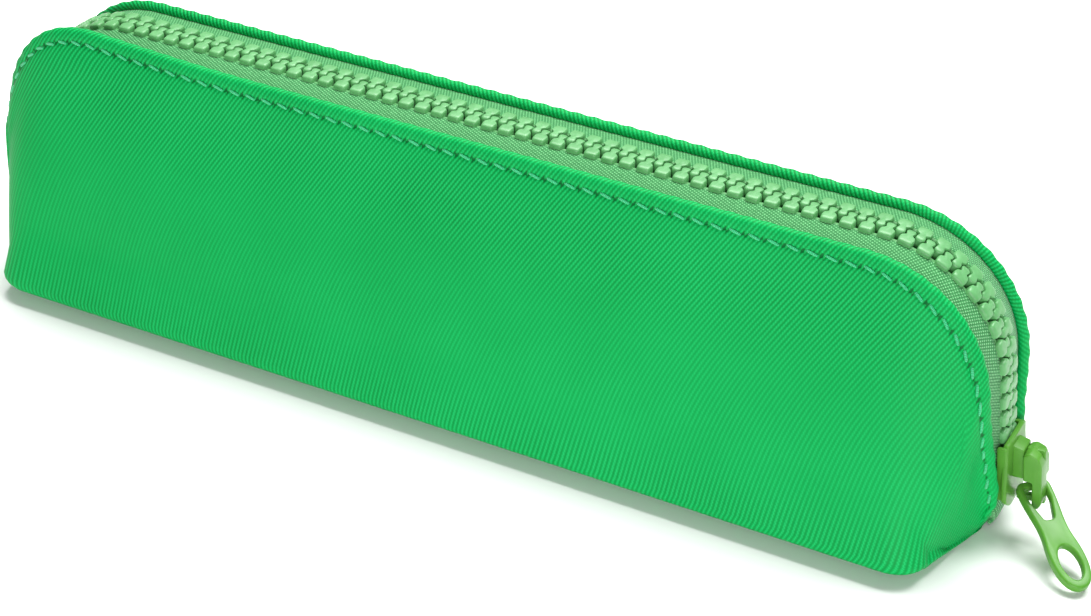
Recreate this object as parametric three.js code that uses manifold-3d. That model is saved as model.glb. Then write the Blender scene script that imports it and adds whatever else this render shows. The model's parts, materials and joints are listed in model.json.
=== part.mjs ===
// Zip pencil pouch with a boxed base, a chunky moulded-tooth zip and a slider with a swinging pull.
// Millimetres, +Z up. The origin is the centre of the base's underside, +X is the slider's end and
// -Y is the front.
import * as THREE from 'three';
import { mergeVertices } from 'three/addons/utils/BufferGeometryUtils.js';
import Module from 'manifold-3d';

const wasm = await Module();
wasm.setup();

// ---- Driving dimensions -------------------------------------------------------------------------
const BASE_LENGTH = 200;
const BASE_WIDTH = 57;
const HEIGHT = 56.4;
const BASE_CORNER_RADIUS = 4;
const TOP_HALF_STRAIGHT = 81.4;
const CORNER_RADIUS = 26.15;
const END_LEAN = 0.099;
const END_STRAIGHT_BOTTOM = 12;
const TUCK_RADIUS = 18.3;
const TUCK_ANGLE = 0.58;
const END_REACH = 106.9;
const END_HALF_GAP = 3.5;

const CREST_HALF_GAP = 9.6;
const END_CREST_HALF_GAP = 8.2;
const LAST_CREST_HALF_GAP = 4.2;
const PANEL_THICKNESS = 1.0;
const FOLD_THICKNESS = 1.8;
const FOLD_DEPTH = 1.2;
const WALL_CROWN = 1.2;
const BASE_SEAM_OFFSET = 2;
const GAP = 0.3;
const LINING_OFFSET = 2.7;
const LINING_THICKNESS = 0.5;

const TAPE_LEVEL = -1.6;
const TAPE_THICKNESS = 0.6;
const TAPE_TUCK_LEVEL = -8;
const TOOTH_PITCH = 3.65;
const TOOTH_WIDTH = 1.5;
const TOOTH_HEIGHT = 3.0;
const TOOTH_REACH = 0.75;
const ROW_INNER = 1.1;
const ROW_OUTER = 3.6;
const ZIP_STRAIGHT_BOTTOM = 5.5;
const ZIP_TUCK_RADIUS = 8;
const ZIP_TUCK_ANGLE = 0.6;

const SLIDER_HEIGHT = 13;
const SLIDER_HALF_LENGTH = 7;
const SLIDER_HALF_WIDTH = 5.8;
const SLIDER_TRAVEL = 14;
const PLATE_TOP = 1.3;
const PLATE_BOTTOM = 0.25;
const WEB_HALF = 0.6;
const RISER_HALF = 1.2;
const CAP_TOP = 6.65;
const TUNNEL_TOP = 5.95;
const PIVOT_ALONG = -3.9;
const PIVOT_OUT = 4.2;

const PULL_YAW = THREE.MathUtils.degToRad(43);
const PULL_SWING = THREE.MathUtils.degToRad(68.5);
const PULL_THICKNESS = 1.8;
const PULL_LENGTH = 22.3;

// ---- Outlines walked as straights and arcs ------------------------------------------------------
// Each leg is {length, turn}: turn is the angle turned clockwise over the leg, 0 on a straight.
function walk(start, heading, legs, part) {
  let [x, y] = start;
  let angle = heading;
  for (let i = 0; i < legs.length; i += 1) {
    const share = THREE.MathUtils.clamp(part - i, 0, 1);
    const length = legs[i].length * share;
    const turn = legs[i].turn * share;
    if (Math.abs(turn) < 1e-9) {
      x += length * Math.cos(angle);
      y += length * Math.sin(angle);
    } else {
      const radius = length / turn;
      x += radius * (Math.sin(angle) - Math.sin(angle - turn));
      y += radius * (Math.cos(angle - turn) - Math.cos(angle));
    }
    angle -= turn;
  }
  return { x, y, angle };
}

const CORNER_TURN = Math.PI / 2 - END_LEAN;
const cornerBottom = HEIGHT - CORNER_RADIUS * (1 - Math.cos(CORNER_TURN));
const endStraight = (cornerBottom - END_STRAIGHT_BOTTOM) / Math.cos(END_LEAN);
const CREST_LEGS = [
  { length: TOP_HALF_STRAIGHT, turn: 0 },
  { length: CORNER_RADIUS * CORNER_TURN, turn: CORNER_TURN },
  { length: endStraight, turn: 0 },
  { length: TUCK_RADIUS * TUCK_ANGLE, turn: TUCK_ANGLE },
];

const endEdge = new THREE.Vector2(END_REACH - BASE_LENGTH / 2, BASE_WIDTH / 2 - END_HALF_GAP);
const plan = endEdge.angle();
const filletTangent = BASE_CORNER_RADIUS * Math.tan(plan / 2);
const endEdgeLength = endEdge.length() - filletTangent;
const END_EDGE_SHARE = 0.76;
const BASE_LEGS = [
  { length: BASE_LENGTH / 2 - filletTangent, turn: 0 },
  { length: BASE_CORNER_RADIUS * plan, turn: -plan },
  { length: endEdgeLength * END_EDGE_SHARE, turn: 0 },
  { length: endEdgeLength * (1 - END_EDGE_SHARE), turn: 0 },
];

const zipRadius = CORNER_RADIUS + TAPE_LEVEL;
const zipCornerBottom = HEIGHT + TAPE_LEVEL - zipRadius * (1 - Math.cos(CORNER_TURN));
const zipStraight = (zipCornerBottom - ZIP_STRAIGHT_BOTTOM) / Math.cos(END_LEAN);
const ZIP_LEGS = [
  { length: TOP_HALF_STRAIGHT, turn: 0 },
  { length: zipRadius * CORNER_TURN, turn: CORNER_TURN },
  { length: zipStraight, turn: 0 },
  { length: ZIP_TUCK_RADIUS * ZIP_TUCK_ANGLE, turn: ZIP_TUCK_ANGLE },
];

// ---- Wall surface -------------------------------------------------------------------------------
// part runs from 0 at mid-length to 4 at an end; side is -1 at the front and +1 at the back; end is
// -1 on the left half and +1 on the right half.
const smooth = (a, b, t) => THREE.MathUtils.smoothstep(t, a, b);

function crestHalfGap(part) {
  const toEnd = smooth(2.0, 2.5, part);
  const toLast = smooth(3.5, 3.9, part);
  const gap = THREE.MathUtils.lerp(CREST_HALF_GAP, END_CREST_HALF_GAP, toEnd);
  return THREE.MathUtils.lerp(gap, LAST_CREST_HALF_GAP, toLast);
}

function crestPoint(part) {
  const at = walk([0, HEIGHT], 0, CREST_LEGS, part);
  return new THREE.Vector3(at.x, -crestHalfGap(part), at.y);
}

function basePoint(part) {
  const at = walk([0, -BASE_WIDTH / 2], 0, BASE_LEGS, part);
  return new THREE.Vector3(at.x, at.y, 0);
}

function wallPoint(part, down) {
  const crest = crestPoint(part);
  const point = crest.clone().lerp(basePoint(part), down);
  const step = 0.01;
  const before = crestPoint(part - step).lerp(basePoint(part - step), down);
  const after = crestPoint(part + step).lerp(basePoint(part + step), down);
  const along = after.sub(before);
  const fall = basePoint(part).sub(crest);
  const outward = along.cross(fall).normalize().negate();
  const crown = WALL_CROWN * Math.sin(Math.PI * down) * Math.min(1, fall.length() / HEIGHT) ** 2;
  return { point: point.addScaledVector(outward, crown), outward };
}

// The frame of the zip's plane at a part of the crest: origin on the crest line, normal outward.
function crestFrame(part) {
  const at = walk([0, HEIGHT], 0, CREST_LEGS, part);
  const normal = new THREE.Vector3(-Math.sin(at.angle), 0, Math.cos(at.angle));
  return { origin: new THREE.Vector3(at.x, 0, at.y), normal };
}

function zipFrame(part) {
  const at = walk([0, HEIGHT + TAPE_LEVEL], 0, ZIP_LEGS, part);
  const normal = new THREE.Vector3(-Math.sin(at.angle), 0, Math.cos(at.angle));
  return { origin: new THREE.Vector3(at.x, 0, at.y), normal };
}

function inset(part, down, depth) {
  const { point, outward } = wallPoint(part, down);
  return point.addScaledVector(outward, -depth);
}

// Where the wall, inset by depth, passes a level below the crest, measured along the zip's normal.
function downAtLevel(part, level, depth) {
  const { origin, normal } = crestFrame(part);
  let low = 0;
  let high = 1;
  for (let i = 0; i < 24; i += 1) {
    const middle = (low + high) / 2;
    const reached = inset(part, middle, depth).sub(origin).dot(normal);
    if (reached > level) low = middle;
    else high = middle;
  }
  return low;
}

// The mitre where the inset wall meets the inset base.
function baseCorner(part, depth, rise) {
  const edge = basePoint(part);
  const up = crestPoint(part).sub(edge).normalize();
  const { outward } = wallPoint(part, 1);
  const moved = edge.addScaledVector(outward, -depth);
  return moved.addScaledVector(up, (rise - moved.z) / up.z);
}

// ---- Solids from grids --------------------------------------------------------------------------
// outer and inner are rows of points of one size; the solid between them is closed at its rims.
function slab(outer, inner) {
  const rows = outer.length;
  const columns = outer[0].length;
  const positions = [];
  for (const grid of [outer, inner]) {
    for (const row of grid) {
      for (const p of row) positions.push(p.x, p.y, p.z);
    }
  }
  const top = (i, j) => i * columns + j;
  const under = (i, j) => rows * columns + i * columns + j;
  const index = [];
  const quad = (a, b, c, d) => index.push(a, b, c, a, c, d);
  for (let i = 0; i < rows - 1; i += 1) {
    for (let j = 0; j < columns - 1; j += 1) {
      quad(top(i, j), top(i, j + 1), top(i + 1, j + 1), top(i + 1, j));
      quad(under(i, j), under(i + 1, j), under(i + 1, j + 1), under(i, j + 1));
    }
  }
  for (let i = 0; i < rows - 1; i += 1) {
    quad(top(i, 0), top(i + 1, 0), under(i + 1, 0), under(i, 0));
    quad(top(i + 1, columns - 1), top(i, columns - 1), under(i, columns - 1), under(i + 1, columns - 1));
  }
  for (let j = 0; j < columns - 1; j += 1) {
    quad(top(0, j + 1), top(0, j), under(0, j), under(0, j + 1));
    quad(top(rows - 1, j), top(rows - 1, j + 1), under(rows - 1, j + 1), under(rows - 1, j));
  }
  const geometry = new THREE.BufferGeometry();
  geometry.setAttribute('position', new THREE.Float32BufferAttribute(positions, 3));
  geometry.setIndex(index);
  return facingOut(geometry);
}

function signedVolume(geometry) {
  const p = geometry.attributes.position;
  const index = geometry.index.array;
  const [a, b, c] = [new THREE.Vector3(), new THREE.Vector3(), new THREE.Vector3()];
  let volume = 0;
  for (let i = 0; i < index.length; i += 3) {
    a.fromBufferAttribute(p, index[i]);
    b.fromBufferAttribute(p, index[i + 1]);
    c.fromBufferAttribute(p, index[i + 2]);
    volume += a.dot(b.cross(c)) / 6;
  }
  return volume;
}

function facingOut(geometry) {
  if (signedVolume(geometry) < 0) geometry.index.array.reverse();
  geometry.computeVertexNormals();
  return geometry;
}

function mirrored(geometry, axis) {
  const copy = geometry.index ? geometry.clone() : toGeometry(toSolid(geometry));
  copy.scale(axis === 'x' ? -1 : 1, axis === 'y' ? -1 : 1, 1);
  return facingOut(copy);
}

function toSolid(geometry) {
  const bare = geometry.clone();
  bare.deleteAttribute('normal');
  bare.deleteAttribute('uv');
  const merged = mergeVertices(bare, 1e-4);
  const mesh = new wasm.Mesh({
    numProp: 3,
    vertProperties: merged.attributes.position.array,
    triVerts: Uint32Array.from(merged.index.array),
  });
  return new wasm.Manifold(mesh);
}

function toGeometry(solid) {
  const mesh = solid.getMesh();
  const geometry = new THREE.BufferGeometry();
  geometry.setAttribute('position', new THREE.BufferAttribute(mesh.vertProperties, 3));
  geometry.setIndex(new THREE.BufferAttribute(mesh.triVerts, 1));
  geometry.computeVertexNormals();
  return geometry;
}

const join = (...shapes) => toGeometry(shapes.map(toSolid).reduce((a, b) => a.add(b)));
const cut = (shape, ...holes) => {
  return toGeometry(holes.map(toSolid).reduce((a, b) => a.subtract(b), toSolid(shape)));
};

// ---- Stations along the pouch -------------------------------------------------------------------
const range = (from, to, count) => {
  return Array.from({ length: count + 1 }, (_, i) => THREE.MathUtils.lerp(from, to, i / count));
};
const HALF_STATIONS = [
  ...range(0, 1, 4),
  ...range(1, 2, 7).slice(1),
  ...range(2, 3, 5).slice(1),
  ...range(3, 3.9, 5).slice(1),
];

// Rows for the whole length, from a function that gives one row on the right half.
function bothHalves(stations, rowAt) {
  const right = stations.map(rowAt);
  const left = right.slice(1).map((row) => row.map((p) => new THREE.Vector3(-p.x, p.y, p.z)));
  return [...left.reverse(), ...right];
}

// ---- Soft pieces --------------------------------------------------------------------------------
const WALL_ROWS = [0.05, 0.25, 0.5, 0.75];

// The base's edge at the seam, which lies just behind mid-width.
function seamPoint(part, seam, height) {
  const reach = walk([0, 0], 0, BASE_LEGS, part).x;
  const last = basePoint(HALF_STATIONS.at(-1)).x;
  return new THREE.Vector3(Math.min(reach, last), seam, height);
}

function foldThickness(part, down) {
  const depth = down * crestPoint(part).distanceTo(basePoint(part));
  const share = Math.max(0, 1 - depth / FOLD_DEPTH) ** 2;
  return PANEL_THICKNESS + (FOLD_THICKNESS - PANEL_THICKNESS) * share;
}

function panel(seam) {
  const outer = bothHalves(HALF_STATIONS, (part) => [
    ...[0, ...WALL_ROWS].map((down) => inset(part, down, 0)),
    basePoint(part),
    seamPoint(part, seam, 0),
  ]);
  const inner = bothHalves(HALF_STATIONS, (part) => [
    ...[0, ...WALL_ROWS].map((down) => inset(part, down, foldThickness(part, down))),
    baseCorner(part, PANEL_THICKNESS, PANEL_THICKNESS),
    seamPoint(part, seam, PANEL_THICKNESS),
  ]);
  return slab(outer, inner);
}

const LINING_LEVEL = -3.2;
const LINING_END = 2.9;
const LINING_RISE = PANEL_THICKNESS + GAP;

function lining() {
  const stations = HALF_STATIONS.filter((part) => part <= LINING_END);
  const rowAt = (depth, rise) => (part) => {
    const top = downAtLevel(part, LINING_LEVEL, depth);
    const corner = baseCorner(part, depth, rise);
    const wall = [0, 0.3, 0.6].map((share) => {
      return inset(part, THREE.MathUtils.lerp(top, 0.97, share), depth);
    });
    return [...wall, corner, new THREE.Vector3(corner.x, -GAP / 2, rise)];
  };
  const outer = bothHalves(stations, rowAt(LINING_OFFSET, LINING_RISE));
  const inner = bothHalves(stations, rowAt(LINING_OFFSET + LINING_THICKNESS, LINING_RISE + LINING_THICKNESS));
  return slab(outer, inner);
}

const TAPE_UNDER_FOLD = 1.6;
const TAPE_BOTTOM_EDGE = 5.2;
const TAPE_SHORT_TUCK = -2.6;

// The part of the crest that lies beside a part of the zip, at the same height down the end.
function crestPartBeside(zipPart) {
  if (zipPart <= 2) return zipPart;
  const height = walk([0, HEIGHT + TAPE_LEVEL], 0, ZIP_LEGS, zipPart).y;
  let low = 2;
  let high = 4;
  for (let i = 0; i < 30; i += 1) {
    const middle = (low + high) / 2;
    if (walk([0, HEIGHT], 0, CREST_LEGS, middle).y > height) low = middle;
    else high = middle;
  }
  return low;
}

// The tape lies flat beside the teeth, then turns down behind the wall; the tuck runs out before
// the foot of the end.
function tapeRow(part, lift) {
  const { origin, normal } = zipFrame(part);
  const beside = crestPartBeside(part);
  const depth = PANEL_THICKNESS + GAP + TAPE_THICKNESS / 2 - lift;
  const shorten = smooth(1.7, 2.3, part);
  const foot = smooth(2.45, 2.8, part);
  const edge = crestHalfGap(beside) - TAPE_UNDER_FOLD - lift * 0.6;
  const at = (t) => origin.clone().addScaledVector(normal, lift).setY(-t);
  const level = THREE.MathUtils.lerp(TAPE_TUCK_LEVEL, TAPE_SHORT_TUCK, shorten);
  const tucked = inset(beside, downAtLevel(beside, level, depth), depth);
  const bend = at(THREE.MathUtils.lerp(edge, TAPE_BOTTOM_EDGE - 0.5, foot));
  return [at(ROW_OUTER + GAP), bend, tucked.lerp(at(TAPE_BOTTOM_EDGE), foot)];
}

function tape() {
  const stations = [...HALF_STATIONS.filter((part) => part < 3), 3];
  return slab(
    bothHalves(stations, (part) => tapeRow(part, TAPE_THICKNESS / 2)),
    bothHalves(stations, (part) => tapeRow(part, -TAPE_THICKNESS / 2)),
  );
}

function endFold() {
  const rows = range(3.1, 3.95, 4);
  const rowAt = (lift) => (part) => {
    const { origin, normal } = zipFrame(part);
    const half = THREE.MathUtils.lerp(4.6, 1.9, smooth(3.1, 3.8, part));
    return range(-half, half, 2).map((t) => origin.clone().addScaledVector(normal, lift).setY(t));
  };
  return slab(rows.map(rowAt(0.6)), rows.map(rowAt(-0.9)));
}

// ---- Zip teeth ----------------------------------------------------------------------------------
const zipHalfLength = ZIP_LEGS.slice(0, 3).reduce((sum, leg) => sum + leg.length, 0);

function zipPartAt(distance) {
  let rest = Math.abs(distance);
  for (let i = 0; i < 3; i += 1) {
    if (rest <= ZIP_LEGS[i].length) return i + rest / ZIP_LEGS[i].length;
    rest -= ZIP_LEGS[i].length;
  }
  return 3;
}

// A point on the zip at a distance along it from mid-length, across it and above its middle plane.
function zipPoint(distance, across, lift) {
  const { origin, normal } = zipFrame(zipPartAt(distance));
  const point = origin.clone().addScaledVector(normal, lift).setY(across);
  if (distance < 0) point.x = -point.x;
  return point;
}

// One row of teeth on its cord, as a comb whose teeth reach over the centre line.
function comb(from, count, side) {
  const positions = [];
  const index = [];
  const add = (p) => positions.push(p.x, p.y, p.z) / 3 - 1;
  const quad = (a, b, c, d) => index.push(a, b, c, a, c, d);
  const ring = (distance) => [
    [ROW_OUTER, 1],
    [ROW_INNER, 1],
    [ROW_INNER, -1],
    [ROW_OUTER, -1],
  ].map(([t, up]) => add(zipPoint(distance, side * t, (up * TOOTH_HEIGHT) / 2)));
  const tip = (distance) => [1, -1].map((up) => {
    return add(zipPoint(distance, -side * TOOTH_REACH, (up * TOOTH_HEIGHT) / 2));
  });
  let last = null;
  for (let i = 0; i < count; i += 1) {
    const start = from + i * TOOTH_PITCH;
    const a = ring(start);
    const b = ring(start + TOOTH_WIDTH);
    const ta = tip(start);
    const tb = tip(start + TOOTH_WIDTH);
    if (last) {
      for (let k = 0; k < 4; k += 1) quad(last[k], last[(k + 1) % 4], a[(k + 1) % 4], a[k]);
    } else {
      quad(a[3], a[2], a[1], a[0]);
    }
    for (const k of [0, 2, 3]) quad(a[k], a[(k + 1) % 4], b[(k + 1) % 4], b[k]);
    quad(a[1], ta[0], tb[0], b[1]);
    quad(ta[0], ta[1], tb[1], tb[0]);
    quad(ta[1], a[2], b[2], tb[1]);
    quad(a[2], ta[1], ta[0], a[1]);
    quad(b[1], tb[0], tb[1], b[2]);
    last = b;
  }
  quad(last[0], last[1], last[2], last[3]);
  const geometry = new THREE.BufferGeometry();
  geometry.setAttribute('position', new THREE.Float32BufferAttribute(positions, 3));
  geometry.setIndex(index);
  return facingOut(geometry);
}

// The sliding run is the straight stretch that the slider parts as it moves; the rest stays shut.
const slidingTop = zipHalfLength - (SLIDER_HEIGHT + SLIDER_HALF_LENGTH + SLIDER_TRAVEL - ZIP_STRAIGHT_BOTTOM);
const slidingBottom = zipHalfLength - (SLIDER_HEIGHT - SLIDER_HALF_LENGTH + 3 - ZIP_STRAIGHT_BOTTOM);
const slidingCount = Math.floor((slidingBottom - slidingTop) / TOOTH_PITCH);
const fixedCount = Math.floor((zipHalfLength + slidingTop - 9) / TOOTH_PITCH);

function toothRow(side, sliding) {
  const shift = side < 0 ? 0 : TOOTH_PITCH / 2;
  const split = slidingTop + shift - TOOTH_PITCH / 2;
  return sliding
    ? comb(split, slidingCount, side)
    : comb(split - fixedCount * TOOTH_PITCH, fixedCount, side);
}

function zipBlock(fromDistance, toDistance, inner, outer, half) {
  const edge = [fromDistance, toDistance];
  return slab(
    edge.map((d) => [inner, outer].map((t) => zipPoint(d, t, half))),
    edge.map((d) => [inner, outer].map((t) => zipPoint(d, t, -half))),
  );
}

// ---- Thread and seam bindings -------------------------------------------------------------------
const STITCH_DEPTH = 2.9;
const THREAD_WIDTH = 0.5;
const THREAD_HEIGHT = 0.3;

function topstitch() {
  const stations = [
    ...range(0, 1, 8),
    ...range(1, 2, 10).slice(1),
    ...range(2, 2.9, 5).slice(1),
  ];
  const rowAt = (lift) => (part) => [-1, 1].map((edge) => {
    const length = crestPoint(part).distanceTo(basePoint(part));
    const down = (STITCH_DEPTH + (edge * THREAD_WIDTH) / 2) / length;
    return inset(part, down, -lift);
  });
  return slab(bothHalves(stations, rowAt(GAP + THREAD_HEIGHT)), bothHalves(stations, rowAt(GAP)));
}

const BINDING_BOTTOM = LINING_RISE + LINING_THICKNESS + GAP;
const BINDING_HEIGHT = 0.6;
const BASE_BINDING = { halfLength: 96, halfWidth: 4 };
const GUSSET = { spread: 19, reach: 99, point: 102.5, width: 3 };

function extrudedOutline(points, depth, holes = []) {
  const shape = new THREE.Shape(points.map(([x, y]) => new THREE.Vector2(x, y)));
  shape.holes = holes;
  return new THREE.ExtrudeGeometry(shape, { depth, bevelEnabled: false });
}

function gussetBinding() {
  const { spread, reach, point, width } = GUSSET;
  const outline = [
    [reach, -spread], [point, 0], [reach, spread],
    [reach - width, spread], [point - width, 0], [reach - width, -spread],
  ];
  return extrudedOutline(outline, BINDING_HEIGHT).translate(0, 0, BINDING_BOTTOM);
}

function baseBinding() {
  const { halfLength, halfWidth } = BASE_BINDING;
  return new THREE.BoxGeometry(2 * halfLength - 4, 2 * halfWidth, BINDING_HEIGHT)
    .translate(0, 0, BINDING_BOTTOM + BINDING_HEIGHT / 2);
}

// ---- Slider, in its own frame: x along the zip upwards, y across it, z out of it -----------------
function block(x0, x1, y0, y1, z0, z1) {
  return new THREE.BoxGeometry(x1 - x0, y1 - y0, z1 - z0)
    .translate((x0 + x1) / 2, (y0 + y1) / 2, (z0 + z1) / 2);
}

function plateOutline() {
  const half = SLIDER_HALF_LENGTH;
  const wide = SLIDER_HALF_WIDTH;
  const right = [[-half, 3.4], [-half + 2.2, wide], [-0.5, wide], [half, wide - 1.1]];
  return [...right, ...right.map(([x, y]) => [x, -y]).reverse()];
}

const INNER_PLATE_TOP = -3.5;
const INNER_PLATE_BOTTOM = -4.7;
const FLANGE_INNER = 4.4;
const FLANGE_TOP_REACH = -0.8;
const FLANGE_BOTTOM_REACH = -2.4;
const DIAMOND = [[-6.6, 0], [-5.4, 1.3], [-4.4, 0], [-5.4, -1.3]];
const LOCK_SLOT = { from: 2.5, to: 3.9, half: 0.62 };

function sliderBody() {
  const plateDepth = PLATE_TOP - PLATE_BOTTOM;
  const innerDepth = INNER_PLATE_TOP - INNER_PLATE_BOTTOM;
  const outerPlate = extrudedOutline(plateOutline(), plateDepth).translate(0, 0, PLATE_BOTTOM);
  const innerPlate = extrudedOutline(plateOutline(), innerDepth).translate(0, 0, INNER_PLATE_BOTTOM);
  const postDepth = PLATE_BOTTOM - INNER_PLATE_TOP + 0.4;
  const diamond = extrudedOutline(DIAMOND, postDepth).translate(0, 0, INNER_PLATE_TOP - 0.2);
  const flanges = [-1, 1].flatMap((side) => {
    const [y0, y1] = [side * FLANGE_INNER, side * (SLIDER_HALF_WIDTH - 1.1)].sort((a, b) => a - b);
    return [
      block(-4.8, SLIDER_HALF_LENGTH, y0, y1, FLANGE_TOP_REACH, PLATE_BOTTOM + 0.2),
      block(-4.8, SLIDER_HALF_LENGTH, y0, y1, INNER_PLATE_TOP - 0.2, FLANGE_BOTTOM_REACH),
    ];
  });
  const riser = block(-1.0, 4.7, -RISER_HALF, RISER_HALF, PLATE_TOP - 0.2, 3.1);
  const slot = block(LOCK_SLOT.from, LOCK_SLOT.to, -LOCK_SLOT.half, LOCK_SLOT.half, -0.2, 4);
  return cut(join(outerPlate, innerPlate, diamond, ...flanges, riser), slot);
}

const CAP_FRONT = 4.8;
const CAP_BACK = -6.7;
const TUNNEL_TOP_END = -1.3;
const TUNNEL_BOTTOM_END = -5.5;
const CAP_SEAT = 3.4;

// The cap is drawn in the x-z plane and extruded across the slider.
function capProfile(half) {
  const outline = [
    [CAP_BACK, PLATE_TOP + GAP], [TUNNEL_BOTTOM_END, PLATE_TOP + GAP], [TUNNEL_BOTTOM_END, TUNNEL_TOP],
    [TUNNEL_TOP_END, TUNNEL_TOP], [TUNNEL_TOP_END, CAP_SEAT], [CAP_FRONT, CAP_SEAT],
    [CAP_FRONT, 5.0], [CAP_FRONT - 1.2, 6.3], [CAP_FRONT - 3, CAP_TOP],
    [CAP_BACK + 1.8, CAP_TOP], [CAP_BACK + 0.4, CAP_TOP - 0.8], [CAP_BACK, CAP_TOP - 2.2],
  ];
  return extrudedOutline(outline, 2 * half).translate(0, 0, -half).rotateX(Math.PI / 2);
}

function sliderCap() {
  const thin = capProfile(WEB_HALF);
  const head = block(0.6, CAP_FRONT - 0.1, -RISER_HALF, RISER_HALF, CAP_SEAT, 5.9);
  const pocket = block(-0.4, 4.0, -LOCK_SLOT.half, LOCK_SLOT.half, 3, 5.4);
  return cut(join(thin, head), pocket);
}

function lockPawl() {
  const arm = block(1.0, 3.7, -0.3, 0.3, 4.0, 4.5);
  const claw = block(2.85, 3.55, -0.3, 0.3, 0.45, 4.2);
  return join(arm, claw);
}

// ---- Pull, in its own frame: x from the crossbar to the tip, y along the crossbar ----------------
const PULL = {
  top: 3.3, topSlot: 2.15, slotEnd: 7.7, slotEndHalf: 0.95, neck: 9.5, neckHalf: 2.75,
  ring: 16.9, ringHalf: 3.4, holeHalf: 1.95, holeHalfLength: 3.6, barRadius: 0.7,
};

function pullOutline() {
  const shape = new THREE.Shape();
  const side = PULL.ringHalf;
  const tail = PULL_LENGTH - PULL.ring;
  shape.moveTo(-PULL.barRadius, -PULL.top + 1.3);
  shape.quadraticCurveTo(-PULL.barRadius, -PULL.top, 1.2, -PULL.top);
  shape.bezierCurveTo(5, -PULL.top, 7, -PULL.neckHalf, PULL.neck, -PULL.neckHalf);
  shape.bezierCurveTo(12, -PULL.neckHalf, 13, -side, PULL.ring - 0.8, -side);
  shape.bezierCurveTo(PULL.ring + tail * 0.6, -side, PULL_LENGTH, -side * 0.6, PULL_LENGTH, 0);
  shape.bezierCurveTo(PULL_LENGTH, side * 0.6, PULL.ring + tail * 0.6, side, PULL.ring - 0.8, side);
  shape.bezierCurveTo(13, side, 12, PULL.neckHalf, PULL.neck, PULL.neckHalf);
  shape.bezierCurveTo(7, PULL.neckHalf, 5, PULL.top, 1.2, PULL.top);
  shape.quadraticCurveTo(-PULL.barRadius, PULL.top, -PULL.barRadius, PULL.top - 1.3);
  shape.closePath();
  return shape;
}

function pull() {
  const hole = new THREE.Path();
  hole.absellipse(PULL.ring, 0, PULL.holeHalfLength, PULL.holeHalf, 0, 2 * Math.PI, true);
  const slot = new THREE.Path();
  slot.moveTo(PULL.barRadius * 0.9, -PULL.topSlot);
  slot.lineTo(PULL.barRadius * 0.9, PULL.topSlot);
  slot.lineTo(3.4, PULL.topSlot);
  slot.lineTo(PULL.slotEnd, PULL.slotEndHalf);
  slot.lineTo(PULL.slotEnd, -PULL.slotEndHalf);
  slot.lineTo(3.4, -PULL.topSlot);
  slot.closePath();
  const shape = pullOutline();
  shape.holes = [hole, slot];
  const plate = new THREE.ExtrudeGeometry(shape, { depth: PULL_THICKNESS, curveSegments: 6, bevelEnabled: false })
    .translate(0, 0, -PULL_THICKNESS / 2);
  const trim = 1.2;
  const thinBar = [-1, 1].map((side) => {
    const z = side * (PULL.barRadius + trim / 2);
    return block(-trim, PULL.barRadius * 0.95, -PULL.topSlot, PULL.topSlot, z - trim / 2, z + trim / 2);
  });
  return cut(plate, ...thinBar);
}

// ---- Assembly -----------------------------------------------------------------------------------
const fabricColour = 0x17be61;
const tapeColour = 0x60be76;
const toothColour = 0x7ec784;
const metalColour = 0x68a64e;
const surfaces = {
  fabric: { color: fabricColour, roughness: 0.75, metalness: 0 },
  lining: { color: 0x1aa45a, roughness: 0.8, metalness: 0 },
  tape: { color: tapeColour, roughness: 0.8, metalness: 0 },
  teeth: { color: toothColour, roughness: 0.45, metalness: 0 },
  thread: { color: 0x2fd08f, roughness: 0.6, metalness: 0 },
  metal: { color: metalColour, roughness: 0.35, metalness: 0.2 },
};

function named(name, geometry, surface) {
  const mesh = new THREE.Mesh(geometry, new THREE.MeshStandardMaterial(surfaces[surface]));
  mesh.name = name;
  return mesh;
}

const pouch = new THREE.Group();

pouch.add(named('front_panel', panel(BASE_SEAM_OFFSET - GAP / 2), 'fabric'));
pouch.add(named('back_panel', mirrored(panel(-BASE_SEAM_OFFSET - GAP / 2), 'y'), 'fabric'));

const frontShapes = { lining: lining(), tape: tape(), topstitch: topstitch() };
const frontNames = {
  lining: ['front_lining', 'back_lining', 'lining'],
  tape: ['front_zip_tape', 'back_zip_tape', 'tape'],
  topstitch: ['front_topstitch', 'back_topstitch', 'thread'],
};
for (const [key, geometry] of Object.entries(frontShapes)) {
  const [front, back, surface] = frontNames[key];
  pouch.add(named(front, geometry, surface));
  pouch.add(named(back, mirrored(geometry, 'y'), surface));
}

for (const [name, side] of [['front', -1], ['back', 1]]) {
  pouch.add(named(`${name}_teeth`, toothRow(side, false), 'teeth'));
  pouch.add(named(`${name}_sliding_teeth`, toothRow(side, true), 'teeth'));
  const stopInner = side < 0 ? -3.6 : 1.7;
  const stop = zipBlock(slidingBottom + 0.3, slidingBottom + 2.4, stopInner, stopInner + 1.9, 1.2);
  pouch.add(named(`${name}_top_stop`, stop, 'teeth'));
}
const firstTooth = slidingTop - TOOTH_PITCH / 2 - fixedCount * TOOTH_PITCH;
pouch.add(named('bottom_stop', zipBlock(firstTooth - 4, firstTooth - 0.6, -3, 3, 1.4), 'teeth'));

pouch.add(named('right_zip_end_fold', endFold(), 'tape'));
pouch.add(named('left_zip_end_fold', mirrored(endFold(), 'x'), 'tape'));
pouch.add(named('base_seam_binding', baseBinding(), 'tape'));
pouch.add(named('right_gusset_binding', gussetBinding(), 'tape'));
pouch.add(named('left_gusset_binding', mirrored(gussetBinding(), 'x'), 'tape'));

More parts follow.
